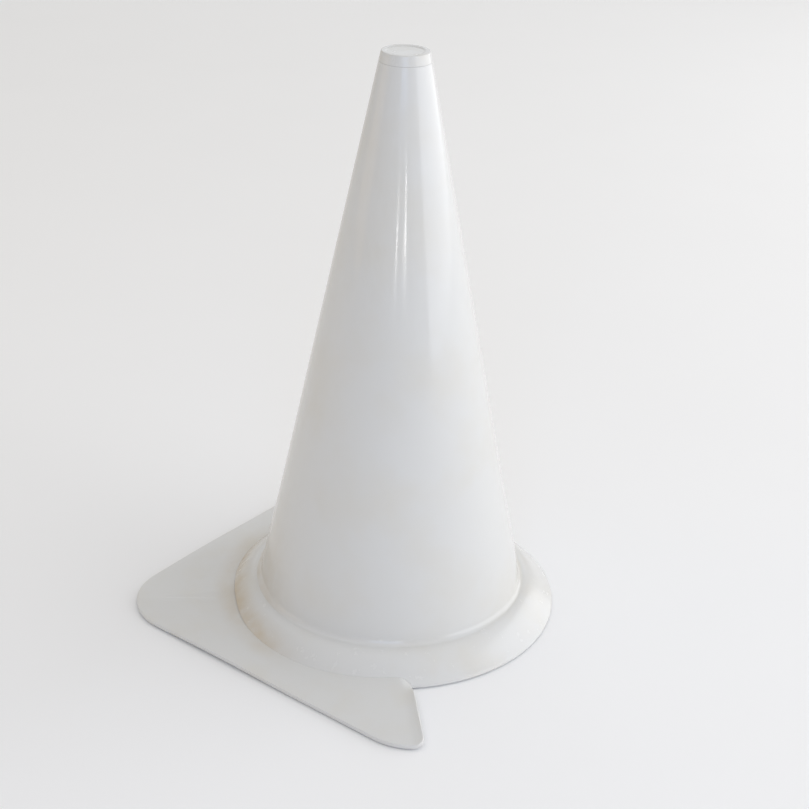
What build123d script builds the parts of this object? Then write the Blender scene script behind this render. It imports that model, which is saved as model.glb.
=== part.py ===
from build123d import *
from math import cos, radians, sin, sqrt
import os

# Traffic cone, in millimetres. The origin is on the cone's axis at ground level, +Z up.
# The plate's left ear points along -X, its front ear along -Y and its back ear along +Y.

# Cone
height = 305.0            # ground to the top of the tip cap
tip_radius = 11.9         # outside, at the very top
foot_radius = 71.2        # outside, where the cone goes down into the brim
cone_wall = 2.0
flange_width = 8.3        # the cone's foot flange, clamped under the brim
flange_thickness = 2.0
rib_count = 6             # stacking ribs inside the cone
rib_width = 1.8
rib_depth = 1.4
rib_bottom = 30.0
rib_length = 40.0

# Tip cap, and the collar that it plugs into
cap_height = 5.0
cap_edge_radius = 0.6
cap_rim_width = 2.7       # round the shallow dish in the cap's top
cap_dish_depth = 0.4
seat_gap = 0.1            # between the cap's underside and the collar
collar_depth = 12.0
collar_bore_radius = 8.0
plug_clearance = 0.05     # radial
plug_length = 10.0
plug_wall = 1.8
plug_slot_width = 1.6
plug_slot_count = 2       # each slot cuts right across the plug

# Brim
brim_width = 19.3         # beyond the cone's foot
brim_wall = 1.8
brim_top = 14.2           # crest of the brim
brim_crest_width = 1.5    # from the cone's wall to the crest
brim_crest_drop = 0.6     # the crest falls this much to the cone's wall
brim_lip_gap = 0.6        # lip above the ground
brim_lip_thickness = 1.4
bore_clearance = 0.1      # between the brim's bore and the cone

# Plate
plate_margin = 17.8       # from the brim to the straight sides of the plate's square
plate_corner_radius = 33.8
ear_tip_radius = 4.5
plate_thickness = 2.2
plate_edge_level = 0.6    # underside of the outer edge above the ground
plate_rise = 2.6          # how far the plate climbs from its edge to its flat middle
crease_margin = 3.5       # from the brim to where the diagonal creases run out
plate_ring_width = 10.8   # the plate's flat ring under the brim, beyond the cone's foot

# Underside
mouth_step = 0.7          # the hole through plate and rubber ring, beyond the cone's inside
pad_radius = 8.0
left_pad_margin = 23.2    # the left pad's centre, from the tip of the plate's corner
side_pad_margin = 27.2    # the front and back pads' centres, from their corners' tips
side_pad_inset = 14.0     # those pads' centres, from the plate's straight edge

# Screws
screw_count = 6
screw_offset = 5.1        # the screws' circle, beyond the cone's foot
screw_radius = 1.5
screw_hole_clearance = 0.15
screw_core_clearance = 0.05
screw_head_radius = 2.6
screw_head_height = 1.4
screw_head_level = 0.9    # head's underside above the ground
screw_grip = 3.0          # how far the screw goes into its boss
boss_radius = 2.9

# Worked out from the sizes above
flange_radius = foot_radius + flange_width
brim_radius = foot_radius + brim_width
plate_side = 2 * (brim_radius + plate_margin)  # the full square that the plate is half of
corner_reach = plate_side / sqrt(2) - (sqrt(2) - 1) * plate_corner_radius
crease_reach = brim_radius + crease_margin
plate_ring_radius = foot_radius + plate_ring_width
screw_circle_radius = foot_radius + screw_offset
plate_bottom = plate_edge_level + plate_rise
plate_top = plate_bottom + plate_thickness
flange_top = plate_top + flange_thickness
seam_level = height - cap_height
foot_level = brim_top - brim_crest_drop
lip_top = brim_lip_gap + brim_lip_thickness
cone_slope = (foot_radius - tip_radius) / (height - foot_level)
wall_across = cone_wall * sqrt(1 + cone_slope ** 2)
mouth_radius = tip_radius + (height - plate_top) * cone_slope - wall_across + mouth_step


def cone_radius(level):
    """Outside radius of the cone at a height."""
    return tip_radius + (height - level) * cone_slope


def revolved(*edges):
    """A ring or cup: a closed outline in the XZ plane, turned about the Z axis."""
    return revolve(make_face(Plane.XZ * Curve(children=edges)), Axis.Z)


def outline(*points):
    return Polyline(*points, close=True)


def tube(outer, inner, bottom, top):
    """A plain round ring."""
    return revolved(outline((inner, bottom), (outer, bottom), (outer, top), (inner, top)))


def rod(radius, bottom, top, place=(0, 0)):
    """A plain upright cylinder."""
    return Pos(place[0], place[1], bottom) * extrude(Circle(radius), top - bottom)


def screw_places():
    """Screw centres, evenly spaced and clear of both plate edges."""
    step = 360 / screw_count
    angles = [radians(step * (n + 0.5)) for n in range(screw_count)]
    return [(screw_circle_radius * cos(a), screw_circle_radius * sin(a)) for a in angles]


def screw_holes(bottom, top, radius=screw_radius + screw_hole_clearance):
    return [rod(radius, bottom, top, place) for place in screw_places()]


def cone_shell():
    """Hollow cone with a foot flange, a collar at the tip and stacking ribs inside."""
    collar_bottom = seam_level - collar_depth
    shell = revolved(outline(
        (collar_bore_radius, seam_level),
        (cone_radius(seam_level), seam_level),
        (cone_radius(flange_top), flange_top),
        (flange_radius, flange_top),
        (flange_radius, plate_top),
        (cone_radius(plate_top) - wall_across, plate_top),
        (cone_radius(collar_bottom) - wall_across, collar_bottom),
        (collar_bore_radius, collar_bottom),
    ))
    rib_top = rib_bottom + rib_length
    rib_side = make_face(Plane.XZ * outline(
        (cone_radius(rib_bottom) - wall_across - rib_depth, rib_bottom),
        (cone_radius(rib_bottom) - wall_across / 2, rib_bottom),
        (cone_radius(rib_top) - wall_across / 2, rib_top),
        (cone_radius(rib_top) - wall_across - rib_depth, rib_top),
    ))
    rib = extrude(rib_side, rib_width / 2, both=True)
    for n in range(rib_count):
        shell += Rot(0, 0, 360 * n / rib_count) * rib
    return shell - screw_holes(plate_top, flange_top)


def tip_cap():
    """Cap with a shallow dish in its top that carries on the cone's slope, and a slotted plug."""
    underside = seam_level + seat_gap
    plug_radius = collar_bore_radius - plug_clearance
    plug_end = underside - plug_length
    head = revolved(outline(
        (0, underside), (cone_radius(underside), underside), (tip_radius, height), (0, height),
    ))
    head = fillet(head.edges().filter_by(GeomType.CIRCLE).group_by(Axis.Z)[-1], cap_edge_radius)
    head -= rod(tip_radius - cap_rim_width, height - cap_dish_depth, height)
    plug = tube(plug_radius, plug_radius - plug_wall, plug_end, underside)
    end_rim = plug.edges().filter_by(GeomType.CIRCLE).group_by(Axis.Z)[0].sort_by(
        SortBy.RADIUS)[-1]
    plug = chamfer(end_rim, plug_wall / 3)
    slot_height = 0.8 * plug_length
    slot = Pos(0, 0, plug_end + slot_height / 2) * Box(
        3 * plug_radius, plug_slot_width, slot_height)
    for n in range(plug_slot_count):
        plug -= Rot(0, 0, 180 * (n + 0.5) / plug_slot_count) * slot
    return head + plug


def flank(start_radius, inset):
    """The brim's curve from its crest out to its lip: the outer face, or an inset below it."""
    start = Vector(start_radius, brim_top - inset)
    end = Vector(brim_radius - 1.4 * inset, lip_top)
    width, fall = end.X - start.X, start.Y - end.Y
    after_start = start + Vector(0.40 * width, 0)
    before_end = end + Vector(-0.30 * width, 0.34 * fall)
    return Bezier(start, after_start, before_end, end)


def brim_ring(plate_space):
    """Round hollow brim with screw bosses, cut away where the plate lies under it."""
    bore_top = (cone_radius(foot_level) + bore_clearance, foot_level)
    bore_foot = (cone_radius(flange_top) + bore_clearance, flange_top)
    collar_foot = (bore_foot[0] + brim_wall, flange_top)
    outer = flank(foot_radius + brim_crest_width, 0)
    inner = flank(collar_foot[0], brim_wall)
    crest, lip = outer @ 0, outer @ 1
    roof, skirt = inner @ 0, inner @ 1
    ring = revolved(
        outer,
        Polyline(lip, (lip.X, brim_lip_gap), (skirt.X, brim_lip_gap), skirt),
        inner,
        Polyline(roof, collar_foot, bore_foot, bore_top, crest),
    )
    inside = revolved(outer, Polyline(lip, (crest.X, lip.Y), crest))
    for place in screw_places():
        ring += rod(boss_radius, flange_top, brim_top, place) & inside
    ring -= screw_holes(flange_top, flange_top + screw_grip, screw_radius + screw_core_clearance)
    return ring - plate_space


def hipped_block(top_level):
    """All the space under the plate's hipped surface, when its flat middle is at top_level."""
    half = plate_side / 2
    flat_half = crease_reach / sqrt(2)
    slope = plate_rise / (half - flat_half)
    wide_half = 1.2 * half
    wide_level = top_level - slope * (wide_half - flat_half)
    wide = Rot(0, 0, 45) * Pos(0, 0, wide_level) * Rectangle(2 * wide_half, 2 * wide_half)
    flat = Rot(0, 0, 45) * Pos(0, 0, top_level) * Rectangle(2 * flat_half, 2 * flat_half)
    below = extrude(wide, -plate_top)
    return loft([wide.face(), flat.face()], ruled=True) + below


def plate_plan():
    """Half of a rounded square, cut along its diagonal, as a tall block."""
    square = Rot(0, 0, 45) * RectangleRounded(plate_side, plate_side, plate_corner_radius)
    half = square & Pos(-plate_side, 0) * Rectangle(2 * plate_side, 2 * plate_side)
    ear_tips = half.vertices().group_by(Axis.X)[-1]
    return extrude(fillet(ear_tips, ear_tip_radius), 2 * plate_top)


def under_plate():
    """The space that the eared half of the plate and everything under it takes."""
    return plate_plan() & hipped_block(plate_top)


def foot_plate():
    """Thin eared plate with creased diagonals and a flat ring that the cone stands on."""
    eared = under_plate() - hipped_block(plate_bottom) - rod(plate_ring_radius, 0, 2 * plate_top)
    ring = tube(plate_ring_radius, mouth_radius, plate_bottom, plate_top)
    return eared + ring - screw_holes(plate_bottom, plate_top)


def rubber_base_ring():
    """Rubber ring on the ground, recessed for the screw heads."""
    ring = tube(plate_ring_radius, mouth_radius, 0, plate_bottom)
    ring -= screw_holes(0, plate_bottom)
    return ring - screw_holes(
        0, screw_head_level + screw_head_height, screw_head_radius + screw_hole_clearance)


def grip_pad(x, y):
    """Rubber disc that fills the space between the ground and the plate's underside."""
    return rod(pad_radius, 0, plate_top, (x, y)) & hipped_block(plate_bottom)


def base_screws():
    """The pan-head screws, points up."""
    head_top = screw_head_level + screw_head_height
    point = flange_top + screw_grip
    screws = []
    for place in screw_places():
        head = rod(screw_head_radius, screw_head_level, head_top, place)
        screws.append(head + rod(screw_radius, head_top, point, place))
    return Compound(children=screws)


nodes = {
    "cone_shell": cone_shell(),
    "tip_cap": tip_cap(),
    "brim_ring": brim_ring(under_plate()),
    "foot_plate": foot_plate(),
    "rubber_base_ring": rubber_base_ring(),
    "base_screws": base_screws(),
    "grip_pad_left": grip_pad(left_pad_margin - corner_reach, 0),
    "grip_pad_front": grip_pad(-side_pad_inset, side_pad_margin - corner_reach),
    "grip_pad_back": grip_pad(-side_pad_inset, corner_reach - side_pad_margin),
}

os.makedirs("parts", exist_ok=True)
for name, shape in nodes.items():
    export_step(shape, f"parts/{name}.step")
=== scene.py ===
from math import atan2, cos, exp, pi, radians, sin, sqrt

import bpy
from mathutils import Matrix, Vector


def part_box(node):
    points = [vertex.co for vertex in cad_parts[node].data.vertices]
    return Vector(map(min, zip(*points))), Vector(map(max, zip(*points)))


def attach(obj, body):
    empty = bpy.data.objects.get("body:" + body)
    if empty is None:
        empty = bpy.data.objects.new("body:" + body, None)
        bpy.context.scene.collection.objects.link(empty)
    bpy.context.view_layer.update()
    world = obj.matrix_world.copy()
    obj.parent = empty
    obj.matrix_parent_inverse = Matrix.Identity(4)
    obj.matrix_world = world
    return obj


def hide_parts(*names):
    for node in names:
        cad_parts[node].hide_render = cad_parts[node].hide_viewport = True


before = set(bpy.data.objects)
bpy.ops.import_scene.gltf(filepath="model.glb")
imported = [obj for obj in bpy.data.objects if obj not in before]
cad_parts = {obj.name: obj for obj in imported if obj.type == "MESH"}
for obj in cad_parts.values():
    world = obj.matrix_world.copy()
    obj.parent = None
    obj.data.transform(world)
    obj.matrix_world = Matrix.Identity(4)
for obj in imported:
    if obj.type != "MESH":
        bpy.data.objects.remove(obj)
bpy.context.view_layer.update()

bl_info = {
    "name": "Small White Traffic Cone",
    "version": (1, 0, 0),
    "blender": (4, 5, 0),
    "location": "3D View > Sidebar > Cone",
    "description": "Builds a small white plastic traffic cone, its foot and a studio to show it in",
    "category": "Object",
}

MM = 0.001
GROUND = 0.0


# Sizes that the frame gives

shell_low, shell_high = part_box("cone_shell")
cap_low, cap_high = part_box("tip_cap")
brim_low, brim_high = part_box("brim_ring")
plate_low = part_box("foot_plate")[0]
rubber_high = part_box("rubber_base_ring")[1]
screws_low, screws_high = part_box("base_screws")

HEIGHT = cap_high.z
SEAM_LEVEL = shell_high.z
FLANGE_RADIUS = shell_high.x
PLATE_TOP = shell_low.z
BRIM_RADIUS = brim_high.x
BRIM_TOP = brim_high.z
BRIM_BOTTOM = brim_low.z
PLATE_EDGE = plate_low.z
PLATE_MIDDLE = rubber_high.z
PLATE_RING_RADIUS = rubber_high.x
PLATE_THICKNESS = PLATE_TOP - PLATE_MIDDLE

# Sizes that several pieces share

SCREW_COUNT = 6
SCREW_HEAD_RADIUS = 2.6 * MM
SCREW_HEAD_HEIGHT = 1.4 * MM
SCREW_SHAFT_RADIUS = 1.5 * MM
SCREW_HOLE_RADIUS = 1.65 * MM
HEAD_RECESS_RADIUS = 2.75 * MM
HEAD_RECESS_TOP = 2.3 * MM
BOSS_RADIUS = 2.9 * MM
BOSS_TOP = 11.2 * MM
RIB_COUNT = 6


class ConeSizes(bpy.types.PropertyGroup):
    """Sizes of the cone, its cap and its foot that the frame's boxes don't give."""

    tip_radius: bpy.props.FloatProperty(
        name="Tip radius", description="Outside radius at the very top",
        default=11.9 * MM, unit="LENGTH")
    foot_radius: bpy.props.FloatProperty(
        name="Foot radius", description="Outside radius where the cone goes into the brim",
        default=71.2 * MM, unit="LENGTH")
    foot_level: bpy.props.FloatProperty(
        name="Foot level", description="Height of the line where the cone goes into the brim",
        default=13.6 * MM, unit="LENGTH")
    wall: bpy.props.FloatProperty(
        name="Cone wall", description="Thickness of the cone's wall",
        default=2.0 * MM, unit="LENGTH")
    flange: bpy.props.FloatProperty(
        name="Flange thickness", description="Thickness of the cone's foot flange",
        default=2.0 * MM, unit="LENGTH")
    collar_radius: bpy.props.FloatProperty(
        name="Collar bore radius", description="Hole at the tip that the cap's plug goes into",
        default=8.0 * MM, unit="LENGTH")
    collar_depth: bpy.props.FloatProperty(
        name="Collar depth", description="Length of that hole",
        default=12.0 * MM, unit="LENGTH")
    plug_wall: bpy.props.FloatProperty(
        name="Plug wall", description="Thickness of the cap's hollow plug",
        default=1.8 * MM, unit="LENGTH")
    plug_slot: bpy.props.FloatProperty(
        name="Plug slot", description="Width of the slots that let the plug spring in",
        default=1.6 * MM, unit="LENGTH")
    dish_radius: bpy.props.FloatProperty(
        name="Cap dish radius", description="Radius of the shallow dish in the cap's top",
        default=9.2 * MM, unit="LENGTH")
    dish_depth: bpy.props.FloatProperty(
        name="Cap dish depth", description="Depth of that dish",
        default=0.4 * MM, unit="LENGTH")
    flare: bpy.props.FloatProperty(
        name="Foot flare", description="How far the cone swells just above its foot",
        default=0.6 * MM, unit="LENGTH")
    foot_spread: bpy.props.FloatProperty(
        name="Foot spread", description="How far the cone's foot curves out over the brim",
        default=2.4 * MM, unit="LENGTH")
    rib_depth: bpy.props.FloatProperty(
        name="Rib depth", description="How far the stacking ribs stand in from the wall",
        default=1.4 * MM, unit="LENGTH")
    rib_width: bpy.props.FloatProperty(
        name="Rib width", description="Width of each stacking rib",
        default=1.8 * MM, unit="LENGTH")
    rib_bottom: bpy.props.FloatProperty(
        name="Rib bottom", description="Height where the stacking ribs start",
        default=30.0 * MM, unit="LENGTH")
    rib_length: bpy.props.FloatProperty(
        name="Rib length", description="Height of the stacking ribs",
        default=40.0 * MM, unit="LENGTH")
    brim_wall: bpy.props.FloatProperty(
        name="Brim wall", description="Thickness of the brim's wall",
        default=1.8 * MM, unit="LENGTH")
    mouth_radius: bpy.props.FloatProperty(
        name="Mouth radius", description="Hole through the plate and the rubber ring",
        default=71.5 * MM, unit="LENGTH")
    plate_side: bpy.props.FloatProperty(
        name="Plate side", description="Side of the square that the plate is half of",
        default=216.6 * MM, unit="LENGTH")
    plate_corner: bpy.props.FloatProperty(
        name="Plate corner radius", description="Radius of the plate's left corner",
        default=33.8 * MM, unit="LENGTH")
    ear_tip: bpy.props.FloatProperty(
        name="Ear tip radius", description="Radius of the tips of the front and back ears",
        default=4.5 * MM, unit="LENGTH")
    crease_reach: bpy.props.FloatProperty(
        name="Crease reach", description="Distance from the axis where the creases run out",
        default=94.0 * MM, unit="LENGTH")
    curl_width: bpy.props.FloatProperty(
        name="Edge curl width", description="Strip along the straight edge that bends down",
        default=6.5 * MM, unit="LENGTH")
    curl_drop: bpy.props.FloatProperty(
        name="Edge curl drop", description="How far that strip bends down beside the brim",
        default=2.9 * MM, unit="LENGTH")
    edge_rise: bpy.props.FloatProperty(
        name="Edge curl rise", description="How far that strip bends up along the ears",
        default=0.9 * MM, unit="LENGTH")
    edge_lift: bpy.props.FloatProperty(
        name="Edge lift", description="How far the sides have warped up between the ears",
        default=0.9 * MM, unit="LENGTH")


class ConeFinishes(bpy.types.PropertyGroup):
    """Colours of the cone's materials."""

    plastic: bpy.props.StringProperty(
        name="White plastic", description="Moulded polyethylene, as an sRGB hex value",
        default="DADAD8")
    plastic_aged: bpy.props.StringProperty(
        name="Aged plastic", description="The same plastic where it has yellowed a little",
        default="D8D6D0")
    # painted shade: a pale brown that darkens the plastic round the brim joint on the left side,
    # away from the key light
    painted_shade: bpy.props.StringProperty(
        name="Painted shade", description="Pale brown dust in the joint between brim and plate",
        default="C2AF8E")
    rubber: bpy.props.StringProperty(
        name="Black rubber", description="Recycled rubber, as an sRGB hex value",
        default="1C1C1D")
    zinc: bpy.props.StringProperty(
        name="Zinc plate", description="Bright zinc on the screws, as an sRGB hex value",
        default="C3C6C9")
    floor: bpy.props.StringProperty(
        name="Floor", description="Pale studio floor, as an sRGB hex value",
        default="F8F8F8")


class ConeStudio(bpy.types.PropertyGroup):
    """Where the camera stands and how strong the studio's lights are."""

    camera_reach: bpy.props.FloatProperty(
        name="Camera reach", description="Level distance from the cone's axis to the camera",
        default=0.7529, unit="LENGTH")
    camera_height: bpy.props.FloatProperty(
        name="Camera height", description="Height of the camera above the floor",
        default=0.4951, unit="LENGTH")
    camera_azimuth: bpy.props.FloatProperty(
        name="Camera azimuth", description="How far the camera stands round to the left",
        default=radians(7.9), subtype="ANGLE", unit="ROTATION")
    camera_yaw: bpy.props.FloatProperty(
        name="Camera yaw", description="How far the camera looks to the right of the axis",
        default=radians(0.377), subtype="ANGLE", unit="ROTATION")
    camera_pitch: bpy.props.FloatProperty(
        name="Camera pitch", description="How far the camera looks down",
        default=radians(26.65), subtype="ANGLE", unit="ROTATION")
    camera_roll: bpy.props.FloatProperty(
        name="Camera roll", description="How far the camera leans",
        default=radians(1.914), subtype="ANGLE", unit="ROTATION")
    lens: bpy.props.FloatProperty(
        name="Lens", description="Focal length in millimetres on a 36 mm sensor",
        default=71.26)
    key: bpy.props.FloatProperty(
        name="Key light", description="Brightness of the tall soft panel on the right",
        default=1.8)
    top: bpy.props.FloatProperty(
        name="Top light", description="Brightness of the wide soft light overhead",
        default=0.39)
    fill: bpy.props.FloatProperty(
        name="Fill light", description="Brightness of the cool soft light beside the camera",
        default=2.2)
    warm: bpy.props.FloatProperty(
        name="Warm light", description="Brightness of the low warm light on the left",
        default=0.52)
    back: bpy.props.FloatProperty(
        name="Back light", description="Brightness of the soft panel behind the cone",
        default=0.77)
    strips: bpy.props.FloatProperty(
        name="Strip lights", description="Brightness of the narrow strips behind the camera",
        default=11.0)
    room: bpy.props.FloatProperty(
        name="Room light", description="Brightness of the pale room all round",
        default=0.495)


# Small helpers

def deselect_all():
    if bpy.context.view_layer.objects.active and bpy.context.object.mode != "OBJECT":
        bpy.ops.object.mode_set(mode="OBJECT")
    bpy.ops.object.select_all(action="DESELECT")


def make_active(piece):
    deselect_all()
    piece.select_set(True)
    bpy.context.view_layer.objects.active = piece


def apply_modifier(piece, kind, **settings):
    """Adds one modifier to a piece and applies it."""
    make_active(piece)
    modifier = piece.modifiers.new(kind.title(), kind)
    for setting, value in settings.items():
        setattr(modifier, setting, value)
    bpy.ops.object.modifier_apply(modifier=modifier.name)


def carve(piece, cutter, operation="DIFFERENCE"):
    """Boolean of a piece with another mesh, which is used up."""
    apply_modifier(piece, "BOOLEAN", object=cutter, operation=operation, solver="EXACT")
    bpy.data.objects.remove(cutter, do_unlink=True)


def smooth(piece, angle=35.0):
    make_active(piece)
    bpy.ops.object.shade_smooth_by_angle(angle=radians(angle))


def turned(name, profile, segments=192, solid=False):
    """Lathe work: a circle is extruded and scaled from point to point of a (radius, level) profile.

    A solid piece starts and ends in a flat face. Any other profile is closed back to its start.
    """
    deselect_all()
    points = list(profile) if solid else [*profile, profile[0]]
    radius, level = points[0]
    bpy.ops.mesh.primitive_circle_add(
        vertices=segments, radius=radius, location=(0, 0, level),
        fill_type="NGON" if solid else "NOTHING")
    piece = bpy.context.object
    piece.name = piece.data.name = name
    bpy.ops.object.transform_apply(location=True, rotation=True, scale=True)
    bpy.ops.object.mode_set(mode="EDIT")
    bpy.ops.mesh.select_all(action="SELECT")
    for (r0, z0), (r1, z1) in zip(points, points[1:]):
        bpy.ops.mesh.extrude_region_move(TRANSFORM_OT_translate={"value": (0, 0, z1 - z0)})
        bpy.ops.transform.resize(value=(r1 / r0, r1 / r0, 1), center_override=(0, 0, z1))
    bpy.ops.mesh.select_all(action="SELECT")
    bpy.ops.mesh.remove_doubles(threshold=0.002 * MM)
    bpy.ops.mesh.normals_make_consistent(inside=False)
    bpy.ops.object.mode_set(mode="OBJECT")
    return piece


def copies(piece, moves):
    """Copies of a piece, each with its own mesh, moved by matrices and joined into one."""
    group = []
    for move in moves:
        copy = piece.copy()
        copy.data = piece.data.copy()
        copy.data.transform(move)
        bpy.context.scene.collection.objects.link(copy)
        group.append(copy)
    name = piece.name
    bpy.data.objects.remove(piece, do_unlink=True)
    make_active(group[0])
    for copy in group:
        copy.select_set(True)
    bpy.ops.object.join()
    group[0].name = name
    return group[0]


def arc(centre, radius, start, end, steps=4):
    """Points on an arc of a profile, from one angle to another in degrees."""
    angles = [radians(start + (end - start) * n / steps) for n in range(steps + 1)]
    return [(centre[0] + radius * cos(a), centre[1] + radius * sin(a)) for a in angles]


def bezier(points, steps):
    """Points along a cubic Bezier curve with four control points."""
    weights = [
        ((1 - t) ** 3, 3 * t * (1 - t) ** 2, 3 * t ** 2 * (1 - t), t ** 3)
        for t in (n / steps for n in range(steps + 1))
    ]
    return [tuple(sum(w * p[k] for w, p in zip(row, points)) for k in (0, 1)) for row in weights]


def ease(share):
    """A smooth step from 0 to 1."""
    share = min(max(share, 0), 1)
    return share * share * (3 - 2 * share)


def linear(hex_colour):
    """An sRGB hex value as linear red, green, blue and alpha."""
    parts = [int(hex_colour[n:n + 2], 16) / 255 for n in (0, 2, 4)]
    return [p / 12.92 if p <= 0.04045 else ((p + 0.055) / 1.055) ** 2.4 for p in parts] + [1.0]


def add_node(tree, kind, settings=(), inputs=(), links=()):
    """Adds a node with its settings, its input values and links into its inputs."""
    node = tree.nodes.new(kind)
    for setting, value in dict(settings).items():
        setattr(node, setting, value)
    for socket, value in dict(inputs).items():
        node.inputs[socket].default_value = value
    for socket, source in dict(links).items():
        tree.links.new(source, node.inputs[socket])
    return node


def new_material(name):
    """An empty node material with a Principled shader, and its tree."""
    material = bpy.data.materials.new(name)
    material.use_nodes = True
    tree = material.node_tree
    tree.nodes.clear()
    shader = add_node(tree, "ShaderNodeBsdfPrincipled")
    add_node(tree, "ShaderNodeOutputMaterial", links={"Surface": shader.outputs["BSDF"]})
    return material, tree, shader


def per_mm(size):
    """Noise scale that gives patches of about this many millimetres in metre coordinates."""
    return 1 / (size * MM)


def finish_piece(piece, body, nodes, material):
    """Gives a piece its body, the CAD nodes that it stands for and its material."""
    piece.data.materials.clear()
    piece.data.materials.append(material)
    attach(piece, body)
    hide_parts(*nodes)


# Materials

def painted_joint_shade(tree, place, amount, start):
    """Painted brownish shade on the plastic, most on the left away from the key light, from a start
    radius to just past the lip.
    """
    full = start + 11 * MM
    fade_start, fade_end = 88 * MM, 100 * MM
    left_start, left_full = -50 * MM, -88 * MM
    split = add_node(tree, "ShaderNodeSeparateXYZ", {}, {}, {"Vector": place})
    level_only = add_node(
        tree, "ShaderNodeCombineXYZ", {}, {"Z": 0.0},
        {"X": split.outputs["X"], "Y": split.outputs["Y"]})
    reach = add_node(
        tree, "ShaderNodeVectorMath", {"operation": "LENGTH"}, {},
        {"Vector": level_only.outputs["Vector"]}).outputs["Value"]
    ring = add_node(
        tree, "ShaderNodeMapRange", {"interpolation_type": "SMOOTHSTEP"},
        {"From Min": start, "From Max": full}, {"Value": reach})
    beyond = add_node(
        tree, "ShaderNodeMapRange", {"interpolation_type": "SMOOTHSTEP"},
        {"From Min": fade_start, "From Max": fade_end, "To Min": 1.0, "To Max": 0.0},
        {"Value": reach})
    leftward = add_node(
        tree, "ShaderNodeMapRange", {"interpolation_type": "SMOOTHSTEP"},
        {"From Min": left_start, "From Max": left_full}, {"Value": split.outputs["X"]})
    # noise that makes the painted shade uneven
    shade_mottle = add_node(
        tree, "ShaderNodeTexNoise", {"noise_dimensions": "3D"},
        {"Scale": per_mm(9.0), "Detail": 3.0}, {"Vector": place})
    share = add_node(
        tree, "ShaderNodeMath", {"operation": "MULTIPLY"}, {1: 1.6 * amount},
        {0: shade_mottle.outputs["Fac"]})
    for part in (ring, beyond, leftward):
        share = add_node(
            tree, "ShaderNodeMath", {"operation": "MULTIPLY"}, {},
            {0: share.outputs["Value"], 1: part.outputs["Result"]})
    return share.outputs["Value"]


def white_polyethylene(name, finishes, gloss, patch, painted_shade=0.0, shade_start=76 * MM):
    """Injection-moulded polyethylene: bright, slightly warm white with a wet-looking gloss.

    The eye sees long soft reflections that waver a little with the moulding's flow, patches that
    have yellowed slightly, and fine rub marks that dull the gloss here and there.
    """
    material, tree, shader = new_material(name)
    place = add_node(tree, "ShaderNodeTexCoord").outputs["Object"]
    patches = add_node(
        tree, "ShaderNodeTexNoise", {"noise_dimensions": "3D"},
        {"Scale": per_mm(patch), "Detail": 3.0, "Roughness": 0.55}, {"Vector": place})
    aged = add_node(
        tree, "ShaderNodeMapRange", {}, {"From Min": 0.48, "From Max": 0.78},
        {"Value": patches.outputs["Fac"]})
    colour = add_node(
        tree, "ShaderNodeMix", {"data_type": "RGBA"},
        {"A": linear(finishes.plastic), "B": linear(finishes.plastic_aged)},
        {"Factor": aged.outputs["Result"]})
    # painted brownish shade mixed into the colour on the left, round the brim joint
    if painted_shade:
        colour = add_node(
            tree, "ShaderNodeMix", {"data_type": "RGBA"}, {"B": linear(finishes.painted_shade)},
            {"A": colour.outputs["Result"], "Factor": painted_joint_shade(tree, place, painted_shade, shade_start)})
    rubbed = add_node(
        tree, "ShaderNodeMapping", {}, {"Scale": (1.0, 1.0, 0.12)}, {"Vector": place})
    rubs = add_node(
        tree, "ShaderNodeTexNoise", {"noise_dimensions": "3D"},
        {"Scale": per_mm(5.0), "Detail": 4.0, "Roughness": 0.6},
        {"Vector": rubbed.outputs["Vector"]})
    roughness = add_node(
        tree, "ShaderNodeMapRange", {},
        {"From Min": 0.35, "From Max": 0.75, "To Min": gloss, "To Max": gloss + 0.10},
        {"Value": rubs.outputs["Fac"]})
    flow = add_node(
        tree, "ShaderNodeTexNoise", {"noise_dimensions": "3D"},
        {"Scale": per_mm(28.0), "Detail": 1.0}, {"Vector": place})
    grain = add_node(
        tree, "ShaderNodeTexNoise", {"noise_dimensions": "3D"},
        {"Scale": per_mm(1.2), "Detail": 2.0}, {"Vector": place})
    waver = add_node(
        tree, "ShaderNodeBump", {}, {"Strength": 1.0, "Distance": 0.10 * MM},
        {"Height": flow.outputs["Fac"]})
    skin = add_node(
        tree, "ShaderNodeBump", {}, {"Strength": 0.5, "Distance": 0.006 * MM},
        {"Height": grain.outputs["Fac"], "Normal": waver.outputs["Normal"]})
    shader.inputs["IOR"].default_value = 1.51
    tree.links.new(colour.outputs["Result"], shader.inputs["Base Color"])
    tree.links.new(roughness.outputs["Result"], shader.inputs["Roughness"])
    tree.links.new(skin.outputs["Normal"], shader.inputs["Normal"])
    return material


def recycled_rubber(name, finishes):
    """Pressed recycled rubber: matt near-black with a crumbly grain and a few paler crumbs."""
    material, tree, shader = new_material(name)
    place = add_node(tree, "ShaderNodeTexCoord").outputs["Object"]
    crumbs = add_node(
        tree, "ShaderNodeTexVoronoi", {"feature": "F1"}, {"Scale": per_mm(1.6)},
        {"Vector": place})
    shade = add_node(
        tree, "ShaderNodeMapRange", {}, {"From Min": 0.0, "From Max": 0.8},
        {"Value": crumbs.outputs["Distance"]})
    dark = linear(finishes.rubber)
    colour = add_node(
        tree, "ShaderNodeMix", {"data_type": "RGBA"},
        {"A": [1.7 * c for c in dark[:3]] + [1.0], "B": dark},
        {"Factor": shade.outputs["Result"]})
    roughness = add_node(
        tree, "ShaderNodeMapRange", {}, {"To Min": 0.62, "To Max": 0.85},
        {"Value": crumbs.outputs["Distance"]})
    relief = add_node(
        tree, "ShaderNodeBump", {}, {"Strength": 0.6, "Distance": 0.08 * MM},
        {"Height": crumbs.outputs["Distance"]})
    shader.inputs["IOR"].default_value = 1.52
    tree.links.new(colour.outputs["Result"], shader.inputs["Base Color"])
    tree.links.new(roughness.outputs["Result"], shader.inputs["Roughness"])
    tree.links.new(relief.outputs["Normal"], shader.inputs["Normal"])
    return material


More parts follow.
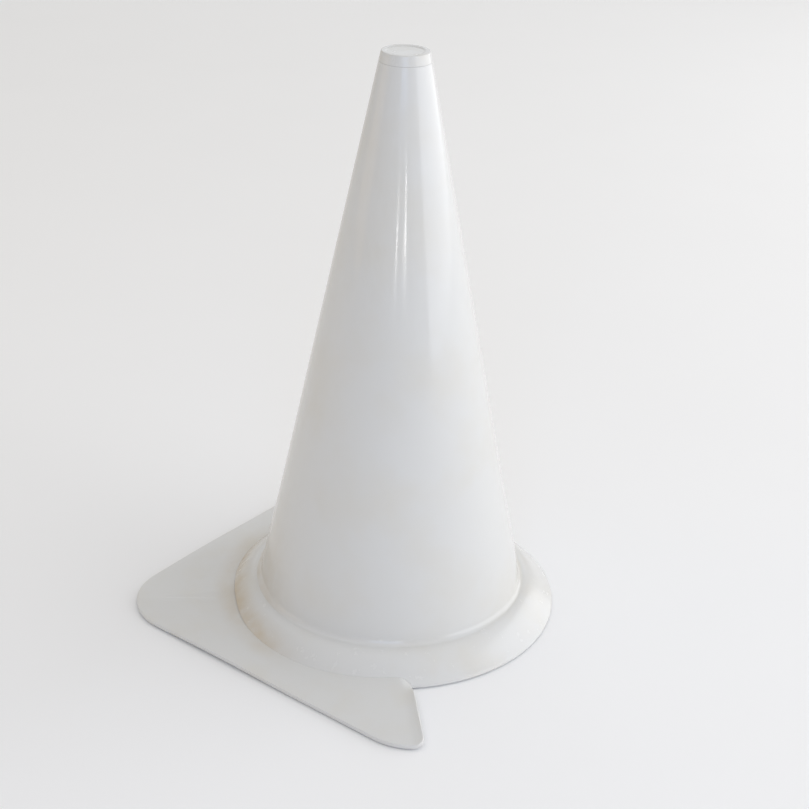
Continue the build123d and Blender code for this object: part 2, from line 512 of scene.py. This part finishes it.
def zinc_plated_steel(name, finishes):
    """Bright zinc plate on a steel screw: silvery, with small cloudy patches from the bath."""
    material, tree, shader = new_material(name)
    place = add_node(tree, "ShaderNodeTexCoord").outputs["Object"]
    clouds = add_node(
        tree, "ShaderNodeTexNoise", {"noise_dimensions": "3D"},
        {"Scale": per_mm(1.5), "Detail": 3.0}, {"Vector": place})
    roughness = add_node(
        tree, "ShaderNodeMapRange", {},
        {"From Min": 0.3, "From Max": 0.7, "To Min": 0.22, "To Max": 0.42},
        {"Value": clouds.outputs["Fac"]})
    bright = linear(finishes.zinc)
    colour = add_node(
        tree, "ShaderNodeMix", {"data_type": "RGBA"},
        {"A": bright, "B": [0.75 * c for c in bright[:3]] + [1.0]},
        {"Factor": clouds.outputs["Fac"]})
    shader.inputs["Metallic"].default_value = 1.0
    tree.links.new(colour.outputs["Result"], shader.inputs["Base Color"])
    tree.links.new(roughness.outputs["Result"], shader.inputs["Roughness"])
    return material


# Shapes

def cone_radius(sizes, level):
    """Outside radius of the cone at a height."""
    slope = (sizes.foot_radius - sizes.tip_radius) / (HEIGHT - sizes.foot_level)
    return sizes.tip_radius + (HEIGHT - level) * slope


def cone_outside(sizes, level):
    """The same radius with the slight swell above the foot."""
    swell_level = 14.0 * MM
    share = (level - sizes.foot_level) / swell_level
    return cone_radius(sizes, level) + sizes.flare * share * exp(1 - share)


def cone_profile(sizes):
    """The cone's wall in section: flange, foot curve over the brim, outside, collar, inside."""
    edge = 0.15 * MM
    flange_top = PLATE_TOP + sizes.flange
    collar_bottom = SEAM_LEVEL - sizes.collar_depth
    outside_steps, inside_steps = 60, 12
    lip = sizes.foot_radius + sizes.foot_spread
    curve_top = BRIM_TOP + 1.2 * sizes.foot_spread
    handle = 0.55 * sizes.foot_spread
    outside = [
        (cone_radius(sizes, flange_top), flange_top),
        (sizes.foot_radius, sizes.foot_level - 0.1 * MM),
        (sizes.foot_radius + 0.65 * MM, sizes.foot_level + 0.08 * MM),
        (sizes.foot_radius + 0.95 * MM, sizes.foot_level + 0.42 * MM),
        (sizes.foot_radius + 1.55 * MM, BRIM_TOP + 0.03 * MM),
        (lip, BRIM_TOP - 0.08 * MM),
    ]
    outside += bezier([
        (lip, BRIM_TOP),
        (lip - handle, BRIM_TOP + 0.10 * MM),
        (cone_outside(sizes, curve_top - handle), curve_top - handle),
        (cone_outside(sizes, curve_top), curve_top),
    ], 8)
    rise = SEAM_LEVEL - edge - curve_top
    for n in range(1, outside_steps + 1):
        level = curve_top + rise * (n / outside_steps) ** 1.5
        outside.append((cone_outside(sizes, level), level))
    inside = []
    for n in range(inside_steps + 1):
        level = collar_bottom + (PLATE_TOP - collar_bottom) * n / inside_steps
        inside.append((cone_radius(sizes, level) - sizes.wall, level))
    return [
        (FLANGE_RADIUS, PLATE_TOP),
        (FLANGE_RADIUS, flange_top),
        *outside,
        (cone_radius(sizes, SEAM_LEVEL) - edge, SEAM_LEVEL),
        (sizes.collar_radius + edge, SEAM_LEVEL),
        (sizes.collar_radius, SEAM_LEVEL - edge),
        (sizes.collar_radius, collar_bottom),
        *inside,
    ]


def cap_head_profile(sizes):
    """The cap's head in section, from its underside over its rounded rim into the dish."""
    underside = SEAM_LEVEL + 0.04 * MM
    edge = 0.6 * MM
    rim = arc((sizes.tip_radius - edge, HEIGHT - edge), edge, 10, 90, 6)
    # the dish's edge is a soft slope, 1.6 mm wide
    dish = []
    dish_steps = 8
    for n in range(dish_steps + 1):
        share = n / dish_steps
        radius = sizes.dish_radius + (0.7 - 1.6 * share) * MM
        dish.append((radius, HEIGHT - ease(share) * sizes.dish_depth))
    return [
        (cone_radius(sizes, underside) - 0.12 * MM, underside),
        (cone_radius(sizes, underside + 0.12 * MM), underside + 0.12 * MM),
        *rim,
        *dish,
        (0.02 * MM, HEIGHT - sizes.dish_depth),
    ]


def flank(sizes, start_radius, inset):
    """Points down the brim from its crest to its lip: the outer face, or an inset below it."""
    lip_top = BRIM_BOTTOM + 1.4 * MM
    start = (start_radius, BRIM_TOP - inset)
    end = (BRIM_RADIUS - 1.4 * inset, lip_top)
    width, fall = end[0] - start[0], start[1] - end[1]
    crest_handle, lip_handle, lip_rise = 0.40, 0.30, 0.34
    return bezier([
        start,
        (start[0] + crest_handle * width, start[1]),
        (end[0] - lip_handle * width, end[1] + lip_rise * fall),
        end,
    ], 20)


def brim_profile(sizes):
    """The brim in section, from its bore over its crest, down its flank and back inside."""
    crest_radius = sizes.foot_radius + 1.5 * MM
    bore_clearance = 0.03 * MM
    flange_top = PLATE_TOP + sizes.flange
    bore_foot = cone_radius(sizes, flange_top) + bore_clearance
    bore_top = cone_radius(sizes, sizes.foot_level) + bore_clearance
    outer = flank(sizes, crest_radius, 0)
    inner = flank(sizes, bore_foot + sizes.brim_wall, sizes.brim_wall)
    lip = 0.5 * MM
    return [
        (bore_foot, flange_top),
        (bore_top, sizes.foot_level - 0.15 * MM),
        (bore_top + 0.6 * MM, sizes.foot_level + 0.02 * MM),
        (bore_top + 0.9 * MM, sizes.foot_level + 0.3 * MM),
        *outer[:-1],
        (BRIM_RADIUS - 0.1 * MM, BRIM_BOTTOM + 1.4 * MM),
        (BRIM_RADIUS, BRIM_BOTTOM + 1.1 * MM),
        *arc((BRIM_RADIUS - lip, BRIM_BOTTOM + lip), lip, 0, -90),
        (inner[-1][0], BRIM_BOTTOM),
        *reversed(inner),
        (bore_foot + sizes.brim_wall, flange_top),
    ]


def plate_reach(sizes, off_ear):
    """Distance from the axis to the plate's outline, by the angle from the ear tip's direction.

    The angle runs from 0 at the straight edge to 90 degrees at the left corner's crease.
    """
    half = sizes.plate_side / 2
    corner = sizes.plate_corner
    corner_centre = (half - corner) * sqrt(2)
    tip = sizes.ear_tip
    tip_centre = corner_centre + sqrt((corner - tip) ** 2 - tip ** 2)
    toward_tip = Vector((tip, tip_centre - corner_centre)).normalized() * corner
    tip_end = atan2(toward_tip.x, corner_centre + toward_tip.y)
    along = corner / sqrt(2)
    corner_end = atan2(along, corner_centre + along)
    if off_ear < tip_end:
        across = tip * cos(off_ear) - tip_centre * sin(off_ear)
        return tip_centre * cos(off_ear) + tip * sin(off_ear) + sqrt(
            max(tip ** 2 - across ** 2, 0))
    from_diagonal = min(off_ear, pi / 2 - off_ear)
    if from_diagonal < corner_end:
        across = corner_centre * sin(from_diagonal)
        return corner_centre * cos(from_diagonal) + sqrt(corner ** 2 - across ** 2)
    return half / cos(off_ear - pi / 4)


def plate_level(sizes, x, y):
    """Height of the plate's top: a flat middle, hipped slopes, creases and a lifted edge."""
    half = sizes.plate_side / 2
    flat_half = sizes.crease_reach / sqrt(2)
    edge_top = PLATE_EDGE + PLATE_THICKNESS
    slope = (PLATE_TOP - edge_top) / (half - flat_half)
    out = (abs(x) + abs(y)) / sqrt(2)
    level = min(PLATE_TOP, edge_top + slope * (half - out))
    # a fine bead beside the left ear's crease
    bead_height, bead_width = 0.3 * MM, 0.9 * MM
    bead_lean, bead_root = 0.16, 139 * MM
    bead_inner, inner_fade = 90 * MM, 8 * MM
    bead_outer, outer_fade = 136 * MM, 12 * MM
    off_bead = y + bead_lean * (x + bead_root)
    bead = bead_height * exp(-(off_bead / bead_width) ** 2)
    level += bead * ease((-x - bead_inner) / inner_fade) * ease((bead_outer + x) / outer_fade)
    # the strip along the straight edge bends down beside the brim and up along the ears
    ear_start, ear_fade = 88 * MM, 14 * MM
    inward = max(1 + x / sizes.curl_width, 0)
    on_ear = ease((abs(y) - ear_start) / ear_fade)
    bend = sizes.edge_rise * on_ear - sizes.curl_drop * (1 - on_ear)
    level += bend * inward ** 2
    # the sides have warped up a little between the ears
    warp_place, warp_width = 33 * MM, 38 * MM
    side_start, side_fade = 78 * MM, 28 * MM
    off_warp = (abs(y) - abs(x)) / sqrt(2) + warp_place
    near_side = ease((out - side_start) / side_fade)
    level += sizes.edge_lift * near_side * exp(-(off_warp / warp_width) ** 2)
    return level


def eared_sheet(name, sizes, inner_radius, depth, gap=0.0):
    """The eared half of the plate: a grid wrapped round the axis, given its thickness.

    A gap raises the sheet that much round the left and back, and hardly at all toward the front.
    """
    around, outwards = 180, 26
    crowding = 0.80  # the points stand closer at the ear tips and the left corner
    least_gap, gap_start, gap_fade = 0.03, -0.5, 0.45
    deselect_all()
    bpy.ops.mesh.primitive_grid_add(x_subdivisions=around, y_subdivisions=outwards, size=2)
    piece = bpy.context.object
    piece.name = piece.data.name = name
    for vertex in piece.data.vertices:
        share = (vertex.co.x + 1) / 2
        quarter = 2 * min(share, 1 - share)
        eased = quarter - crowding * sin(2 * pi * quarter) / (2 * pi)
        off_ear = eased * pi / 2
        outer = plate_reach(sizes, off_ear)
        reach = inner_radius + (outer - inner_radius) * (vertex.co.y + 1) / 2
        side = 1 if share < 0.5 else -1
        x, y = -reach * sin(off_ear), side * reach * cos(off_ear)
        open_share = least_gap + (1 - least_gap) * ease((y / reach - gap_start) / gap_fade)
        vertex.co = (x, y, plate_level(sizes, x, y) + gap * open_share)
    bpy.ops.object.mode_set(mode="EDIT")
    bpy.ops.mesh.select_all(action="SELECT")
    bpy.ops.mesh.normals_make_consistent(inside=False)
    bpy.ops.object.mode_set(mode="OBJECT")
    if piece.data.polygons[0].normal.z < 0:
        piece.data.flip_normals()
    apply_modifier(piece, "SOLIDIFY", thickness=depth, offset=-1, use_even_offset=False)
    return piece


def cross_recess_cutter(radius, level):
    """Cross-shaped cutter for a screw head that faces down."""
    recess_depth = 0.9 * MM
    deselect_all()
    blades = []
    for turn in (0, 90):
        bpy.ops.mesh.primitive_cube_add(size=1, location=(0, 0, level))
        blade = bpy.context.object
        blade.scale = (1.15 * radius, 0.24 * radius, 2 * recess_depth)
        bpy.ops.object.transform_apply(location=True, rotation=False, scale=True)
        if turn:
            blade.data.transform(Matrix.Rotation(radians(turn), 4, "Z"))
        blades.append(blade)
    carve(blades[0], blades[1], "UNION")
    return blades[0]


def screw_moves():
    """The screws' places, on a circle, from the box round all of them."""
    circle = screws_high.y - SCREW_HEAD_RADIUS
    step = 360 / SCREW_COUNT
    return [
        Matrix.Rotation(radians(step * (n + 0.5)), 4, "Z") @ Matrix.Translation((circle, 0, 0))
        for n in range(SCREW_COUNT)
    ]


def screw_cylinders(radius, bottom, top):
    """Six plain cylinders where the screws are, joined into one mesh."""
    deselect_all()
    bpy.ops.mesh.primitive_cylinder_add(
        vertices=32, radius=radius, depth=top - bottom, location=(0, 0, (top + bottom) / 2))
    bpy.ops.object.transform_apply(location=True, rotation=True, scale=True)
    return copies(bpy.context.object, screw_moves())


# Operators

class CONE_OT_body(bpy.types.Operator):
    """Turn the tall hollow cone with its flange, collar and stacking ribs"""

    bl_idname = "cone.body"
    bl_label = "Cone body"

    def execute(self, context):
        sizes, finishes = context.scene.cone_sizes, context.scene.cone_finishes
        body = turned("cone_body", cone_profile(sizes))
        carve(body, self.ribs(sizes), "UNION")
        carve(body, screw_cylinders(SCREW_HOLE_RADIUS, PLATE_TOP - 1 * MM, PLATE_TOP + 3 * MM))
        smooth(body, 30)
        # painted brownish shade on the cone's foot on the left, from 57 mm out
        material = white_polyethylene(
            "moulded_polyethylene", finishes, gloss=0.07, patch=45.0, painted_shade=0.5,
            shade_start=57 * MM)
        finish_piece(body, "cone", ["cone_shell"], material)
        return {"FINISHED"}

    def ribs(self, sizes):
        """Six straight ribs that lean with the wall, to keep stacked cones from jamming."""
        middle = sizes.rib_bottom + sizes.rib_length / 2
        buried = sizes.wall / 2
        lean = atan2(cone_radius(sizes, 0) - cone_radius(sizes, HEIGHT), HEIGHT)
        inside = cone_radius(sizes, middle) - sizes.wall
        deselect_all()
        bpy.ops.mesh.primitive_cube_add(size=1)
        rib = bpy.context.object
        rib.name = "stacking_ribs"
        rib.data.transform(Matrix.Diagonal(
            (sizes.rib_depth + buried, sizes.rib_width, sizes.rib_length, 1)))
        rib.data.transform(Matrix.Rotation(-lean, 4, "Y"))
        rib.data.transform(Matrix.Translation(
            (inside + (buried - sizes.rib_depth) / 2, 0, middle)))
        turns = [radians(360 * n / RIB_COUNT) for n in range(RIB_COUNT)]
        return copies(rib, [Matrix.Rotation(turn, 4, "Z") for turn in turns])


class CONE_OT_tip_cap(bpy.types.Operator):
    """Turn the tip cap and slot its plug"""

    bl_idname = "cone.tip_cap"
    bl_label = "Tip cap"

    def execute(self, context):
        sizes, finishes = context.scene.cone_sizes, context.scene.cone_finishes
        cap = turned("tip_plug_cap", cap_head_profile(sizes), 96, solid=True)
        clearance = 0.05 * MM
        outer = sizes.collar_radius - clearance
        inner = outer - sizes.plug_wall
        top, end = SEAM_LEVEL + 0.1 * MM, cap_low.z
        plug = turned("plug", [
            (inner, end + 0.1 * MM), (inner, top + 0.5 * MM), (outer, top + 0.5 * MM),
            (outer, end + 0.6 * MM), (outer - 0.6 * MM, end), (inner + 0.1 * MM, end),
        ], 96)
        for turn in (45, -45):
            deselect_all()
            depth = 0.8 * (top - end)
            bpy.ops.mesh.primitive_cube_add(size=1, location=(0, 0, end + depth / 2))
            slot = bpy.context.object
            slot.scale = (3 * outer, sizes.plug_slot, depth + 0.2 * MM)
            bpy.ops.object.transform_apply(location=True, rotation=False, scale=True)
            slot.data.transform(Matrix.Rotation(radians(turn), 4, "Z"))
            carve(plug, slot)
        carve(cap, plug, "UNION")
        smooth(cap, 30)
        material = white_polyethylene(
            "moulded_polyethylene_cap", finishes, gloss=0.20, patch=12.0)
        finish_piece(cap, "cap", ["tip_cap"], material)
        return {"FINISHED"}


class CONE_OT_brim(bpy.types.Operator):
    """Turn the round brim and cut it away over the plate"""

    bl_idname = "cone.brim"
    bl_label = "Brim"

    def execute(self, context):
        sizes, finishes = context.scene.cone_sizes, context.scene.cone_finishes
        brim = turned("foot_brim", brim_profile(sizes))
        carve(brim, screw_cylinders(BOSS_RADIUS, PLATE_TOP + sizes.flange, BOSS_TOP), "UNION")
        cutter = eared_sheet("plate_space", sizes, sizes.mouth_radius, 20 * MM, 0.8 * MM)
        cutter.data.transform(Matrix.Translation((0.05 * MM, 0, 0)))
        carve(brim, cutter)
        smooth(brim, 30)
        # painted brownish shade on the brim's left flank
        material = white_polyethylene(
            "moulded_polyethylene_brim", finishes, gloss=0.20, patch=30.0, painted_shade=0.75)
        finish_piece(brim, "cone", ["brim_ring"], material)
        return {"FINISHED"}


class CONE_OT_foot_plate(bpy.types.Operator):
    """Shape the thin eared plate under the brim"""

    bl_idname = "cone.foot_plate"
    bl_label = "Foot plate"

    def execute(self, context):
        sizes, finishes = context.scene.cone_sizes, context.scene.cone_finishes
        plate = eared_sheet("eared_plate", sizes, PLATE_RING_RADIUS - 1.0 * MM, PLATE_THICKNESS)
        apply_modifier(
            plate, "BEVEL", width=0.55 * MM, segments=3, limit_method="ANGLE",
            angle_limit=radians(50))
        ring = turned("plate_ring", [
            (sizes.mouth_radius, PLATE_MIDDLE), (PLATE_RING_RADIUS, PLATE_MIDDLE),
            (PLATE_RING_RADIUS, PLATE_TOP), (sizes.mouth_radius, PLATE_TOP),
        ])
        carve(plate, ring, "UNION")
        carve(plate, screw_cylinders(SCREW_HOLE_RADIUS, PLATE_MIDDLE - 1 * MM, PLATE_TOP + 1 * MM))
        smooth(plate, 30)
        # faint painted brownish shade on the plate beside the brim on the left
        material = white_polyethylene(
            "moulded_polyethylene_plate", finishes, gloss=0.28, patch=30.0, painted_shade=0.3)
        finish_piece(plate, "cone", ["foot_plate"], material)
        return {"FINISHED"}


class CONE_OT_rubber_ring(bpy.types.Operator):
    """Turn the grooved rubber ring under the brim and recess it for the screws"""

    bl_idname = "cone.rubber_ring"
    bl_label = "Rubber ring"

    def execute(self, context):
        sizes, finishes = context.scene.cone_sizes, context.scene.cone_finishes
        inner, outer, top = sizes.mouth_radius, PLATE_RING_RADIUS, PLATE_MIDDLE
        groove, depth, edge = 0.9 * MM, 0.5 * MM, 0.4 * MM
        underside = []
        for share in (0.2, 0.8):
            middle = inner + share * (outer - inner)
            underside += [
                (middle - groove / 2, GROUND), (middle - groove / 3, GROUND + depth),
                (middle + groove / 3, GROUND + depth), (middle + groove / 2, GROUND),
            ]
        ring = turned("rubber_ring", [
            (inner, top), (inner, GROUND + edge), (inner + edge, GROUND), *underside,
            (outer - edge, GROUND), (outer, GROUND + edge), (outer, top),
        ])
        carve(ring, screw_cylinders(HEAD_RECESS_RADIUS, -1 * MM, HEAD_RECESS_TOP))
        carve(ring, screw_cylinders(SCREW_HOLE_RADIUS, -1 * MM, 5 * MM))
        smooth(ring, 30)
        material = recycled_rubber("pressed_recycled_rubber", finishes)
        finish_piece(ring, "cone", ["rubber_base_ring"], material)
        return {"FINISHED"}


class CONE_OT_screws(bpy.types.Operator):
    """Turn one pan-head screw, cut its cross recess and copy it round the base"""

    bl_idname = "cone.screws"
    bl_label = "Base screws"

    def execute(self, context):
        finishes = context.scene.cone_finishes
        head, shaft = SCREW_HEAD_RADIUS, SCREW_SHAFT_RADIUS
        low, high = screws_low.z, screws_high.z
        head_top = low + SCREW_HEAD_HEIGHT
        pitch, thread_depth = 1.0 * MM, 0.28 * MM
        profile = [
            (1.1 * MM, low), (1.9 * MM, low + 0.12 * MM), (2.45 * MM, low + 0.5 * MM),
            (head, low + 0.9 * MM), (head, head_top), (shaft, head_top),
        ]
        level = head_top
        while level + pitch < high - 1.2 * MM:
            profile += [
                (shaft, level + 0.25 * pitch), (shaft - thread_depth, level + 0.6 * pitch),
                (shaft - thread_depth, level + 0.8 * pitch), (shaft, level + pitch),
            ]
            level += pitch
        profile += [(shaft - 0.3 * MM, high - 0.9 * MM), (0.15 * MM, high)]
        screw = turned("base_screw_set", profile, 32, solid=True)
        carve(screw, cross_recess_cutter(head, low))
        screws = copies(screw, screw_moves())
        smooth(screws, 35)
        material = zinc_plated_steel("zinc_plated_steel", finishes)
        finish_piece(screws, "cone", ["base_screws"], material)
        return {"FINISHED"}


class CONE_OT_grip_pads(bpy.types.Operator):
    """Turn a grooved rubber pad for each ear of the plate"""

    bl_idname = "cone.grip_pads"
    bl_label = "Grip pads"

    def execute(self, context):
        finishes = context.scene.cone_finishes
        material = recycled_rubber("pressed_recycled_rubber_pad", finishes)
        for side in ("left", "front", "back"):
            node = f"grip_pad_{side}"
            low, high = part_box(node)
            centre = (low + high) / 2
            radius, top, edge = (high.x - low.x) / 2, high.z - 0.25 * MM, 0.4 * MM
            groove = GROUND + 0.5 * MM
            pad = turned(f"ear_pad_{side}", [
                (1.2 * MM, groove), (2.0 * MM, groove), (2.4 * MM, GROUND),
                (4.6 * MM, GROUND), (5.0 * MM, groove), (5.8 * MM, groove),
                (6.2 * MM, GROUND), (radius - edge, GROUND), (radius, GROUND + edge),
                (radius, top - 0.2 * MM), (radius - 0.2 * MM, top),
            ], 64, solid=True)
            pad.data.transform(Matrix.Translation((centre.x, centre.y, 0)))
            smooth(pad, 35)
            finish_piece(pad, "cone", [node], material)
        return {"FINISHED"}


def aim(thing, target):
    """Turns a lamp to look at a point."""
    direction = Vector(target) - thing.location
    thing.rotation_euler = direction.to_track_quat("-Z", "Y").to_euler()


def soft_lamp(name, place, target, size, brightness, colour):
    """A rectangular lamp of a width and height at a place, aimed at a point."""
    deselect_all()
    bpy.ops.object.light_add(type="AREA", location=place)
    lamp = bpy.context.object
    lamp.name = name
    lamp.data.shape = "RECTANGLE"
    lamp.data.size, lamp.data.size_y = size
    lamp.data.energy = brightness * pi * size[0] * size[1]
    lamp.data.color = colour
    aim(lamp, target)


class CONE_OT_stage(bpy.types.Operator):
    """Lay the pale floor, light it softly from the right and place the camera"""

    bl_idname = "cone.stage"
    bl_label = "Stage"

    def execute(self, context):
        studio, finishes = context.scene.cone_studio, context.scene.cone_finishes
        self.lay_floor(finishes)
        self.light(context.scene, studio)
        self.place_camera(context.scene, studio)
        return {"FINISHED"}

    def lay_floor(self, finishes):
        """Matt painted board: even and pale, with a faint mottle that never looks printed."""
        # a hair below the ground, so that it doesn't coincide with the rubber's underside
        hair = 0.05 * MM
        deselect_all()
        bpy.ops.mesh.primitive_plane_add(size=8, location=(0, 0, GROUND - hair))
        floor = bpy.context.object
        floor.name = "studio_floor"
        material, tree, shader = new_material("matt_painted_board")
        place = add_node(tree, "ShaderNodeTexCoord").outputs["Object"]
        mottle = add_node(
            tree, "ShaderNodeTexNoise", {"noise_dimensions": "3D"},
            {"Scale": per_mm(120.0), "Detail": 2.0}, {"Vector": place})
        pale = linear(finishes.floor)
        colour = add_node(
            tree, "ShaderNodeMix", {"data_type": "RGBA"},
            {"A": pale, "B": [0.985 * c for c in pale[:3]] + [1.0]},
            {"Factor": mottle.outputs["Fac"]})
        shader.inputs["Roughness"].default_value = 0.85
        tree.links.new(colour.outputs["Result"], shader.inputs["Base Color"])
        floor.data.materials.append(material)

    def light(self, scene, studio):
        middle = (0, 0, 0.12)
        soft_lamp("key_panel", (1.4, -0.12, 0.62), (0, 0, 0.62), (2.9, 1.2), studio.key,
                  (0.93, 0.95, 1.0))
        soft_lamp("top_light", (0, 0.3, 3.0), (0, 0.3, 0), (5.0, 5.0), studio.top,
                  (0.90, 0.94, 1.0))
        soft_lamp("cool_fill", (-0.25, -1.5, 0.9), middle, (0.7, 0.9), studio.fill,
                  (0.48, 0.64, 1.0))
        soft_lamp("warm_side", (-1.4, 0.1, 0.4), middle, (0.8, 0.6), studio.warm,
                  (1.0, 0.65, 0.25))
        soft_lamp("back_panel", (0.3, 2.5, 0.95), (0, 0, 0.3), (2.4, 0.8), studio.back,
                  (0.80, 0.88, 1.0))
        # narrow upright strips behind the camera, seen as thin streaks in the cone's gloss
        strip_reach = 1.5
        for turn, height, size, share in (
            (9.9, 0.307, (0.05, 0.142), 1.0),
            (8.6, 0.268, (0.16, 0.064), 0.35),
            (-5.7, 0.278, (0.05, 0.11), 1.0),
        ):
            heading = radians(turn - 90) - studio.camera_azimuth
            place = (strip_reach * cos(heading), strip_reach * sin(heading), height)
            soft_lamp("strip_light", place, (0, 0, height), size, studio.strips * share,
                      (1.0, 1.0, 1.0))
        world = bpy.data.worlds.new("pale_room")
        world.use_nodes = True
        background = world.node_tree.nodes["Background"]
        background.inputs["Color"].default_value = (1.0, 0.955, 0.885, 1.0)
        background.inputs["Strength"].default_value = studio.room
        scene.world = world
        scene.view_settings.view_transform = "Standard"

    def place_camera(self, scene, studio):
        deselect_all()
        azimuth, pitch, yaw, roll = (
            studio.camera_azimuth, studio.camera_pitch, studio.camera_yaw, studio.camera_roll)
        place = Vector((-studio.camera_reach * sin(azimuth), -studio.camera_reach * cos(azimuth),
                        studio.camera_height))
        heading = azimuth + yaw
        forward = Vector((sin(heading) * cos(pitch), cos(heading) * cos(pitch), -sin(pitch)))
        right = forward.cross(Vector((0, 0, 1))).normalized()
        up = right.cross(forward)
        leaned_right = cos(roll) * right + sin(roll) * up
        leaned_up = cos(roll) * up - sin(roll) * right
        bpy.ops.object.camera_add(location=place)
        camera = bpy.context.object
        camera.name = "studio_camera"
        turn = Matrix((leaned_right, leaned_up, -forward)).transposed()
        camera.matrix_world = Matrix.Translation(place) @ turn.to_4x4()
        camera.data.lens = studio.lens
        camera.data.sensor_width = 36.0
        scene.camera = camera


class CONE_PT_panel(bpy.types.Panel):
    """Sidebar panel that lists the cone's pieces and sizes"""

    bl_idname = "CONE_PT_panel"
    bl_label = "Traffic cone"
    bl_space_type = "VIEW_3D"
    bl_region_type = "UI"
    bl_category = "Cone"

    def draw(self, context):
        column = self.layout.column(align=True)
        for operator in OPERATORS:
            column.operator(operator.bl_idname)
        for group in (
            context.scene.cone_sizes, context.scene.cone_finishes, context.scene.cone_studio,
        ):
            box = self.layout.box()
            for setting in group.__annotations__:
                box.prop(group, setting)


OPERATORS = (
    CONE_OT_body,
    CONE_OT_tip_cap,
    CONE_OT_brim,
    CONE_OT_foot_plate,
    CONE_OT_rubber_ring,
    CONE_OT_screws,
    CONE_OT_grip_pads,
    CONE_OT_stage,
)
GROUPS = {"cone_sizes": ConeSizes, "cone_finishes": ConeFinishes, "cone_studio": ConeStudio}


def register():
    for kind in (*GROUPS.values(), *OPERATORS, CONE_PT_panel):
        bpy.utils.register_class(kind)
    for name, group in GROUPS.items():
        setattr(bpy.types.Scene, name, bpy.props.PointerProperty(type=group))


def unregister():
    for name in GROUPS:
        delattr(bpy.types.Scene, name)
    for kind in reversed((*GROUPS.values(), *OPERATORS, CONE_PT_panel)):
        bpy.utils.unregister_class(kind)


def main():
    register()
    bpy.ops.cone.body()
    bpy.ops.cone.tip_cap()
    bpy.ops.cone.brim()
    bpy.ops.cone.foot_plate()
    bpy.ops.cone.rubber_ring()
    bpy.ops.cone.screws()
    bpy.ops.cone.grip_pads()
    bpy.ops.cone.stage()


if __name__ == "__main__":
    main()
